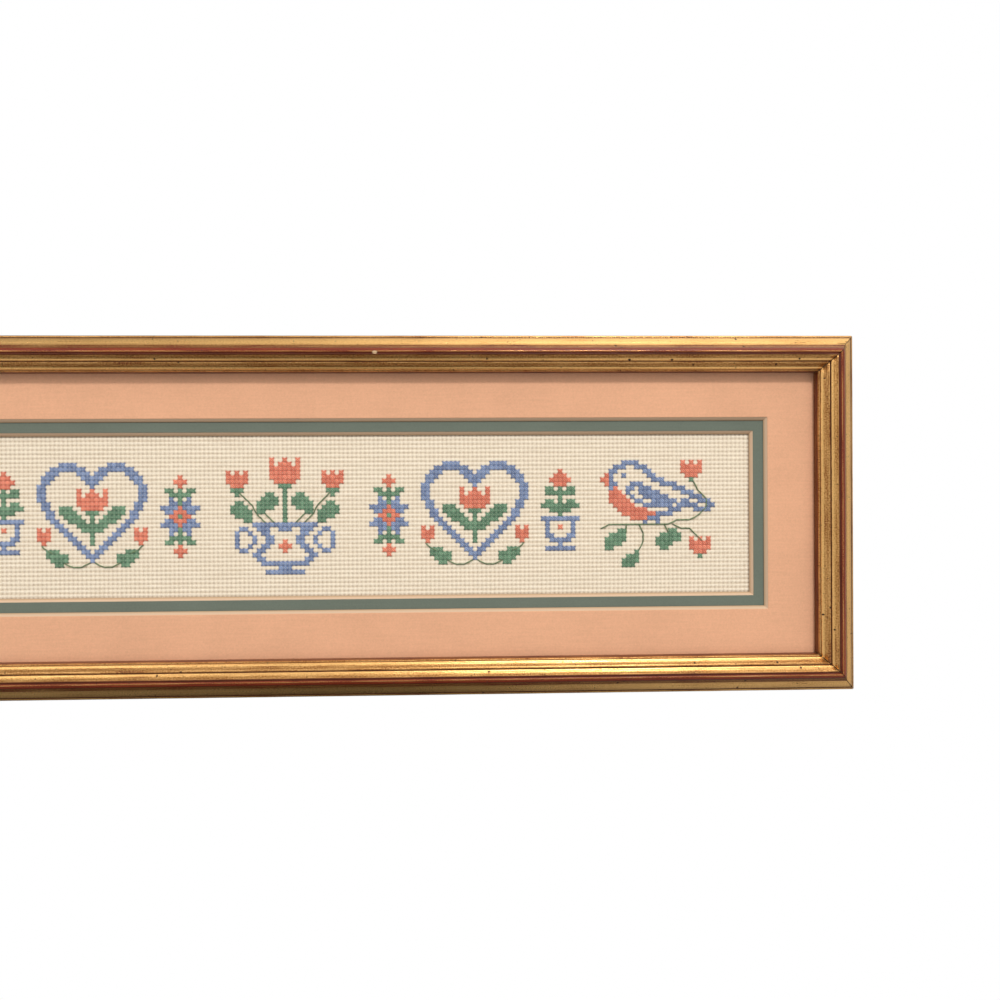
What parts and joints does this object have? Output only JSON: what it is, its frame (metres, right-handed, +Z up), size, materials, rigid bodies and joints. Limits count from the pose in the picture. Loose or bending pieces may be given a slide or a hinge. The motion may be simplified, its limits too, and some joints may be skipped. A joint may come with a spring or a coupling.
{
  "type": "cross stitch sampler in a moulded gilt frame",
  "caption": "Long narrow cross stitch sampler under two bevelled window mats, in a mitred gilt moulding with a red crest, made to hang on a wall.",
  "frame": {"origin": "middle of the back of the top rail, where the picture hangs against the wall", "axes": "+X to the viewer's right along the picture, +Y into the wall, +Z up; the stitched face looks to -Y"},
  "size_m": [0.4772, 0.0203, 0.1485],
  "materials": {
    "gilding": "worn gold leaf over red ground, on wood",
    "outer_board": "matt peach paper on card, with a cream core",
    "inner_board": "matt grey green paper on card, with a cream core",
    "cloth": "cream cotton cloth in an even block weave",
    "backing": "plain brown fibreboard"
  },
  "bodies": {
    "root": {"backing_board": "backing", "stitched_cloth": "cloth", "inner_mat": "inner_board", "outer_mat": "outer_board", "rail_top": "gilding", "rail_bottom": "gilding", "rail_left": "gilding", "rail_right": "gilding"}
  },
  "joints": []
}
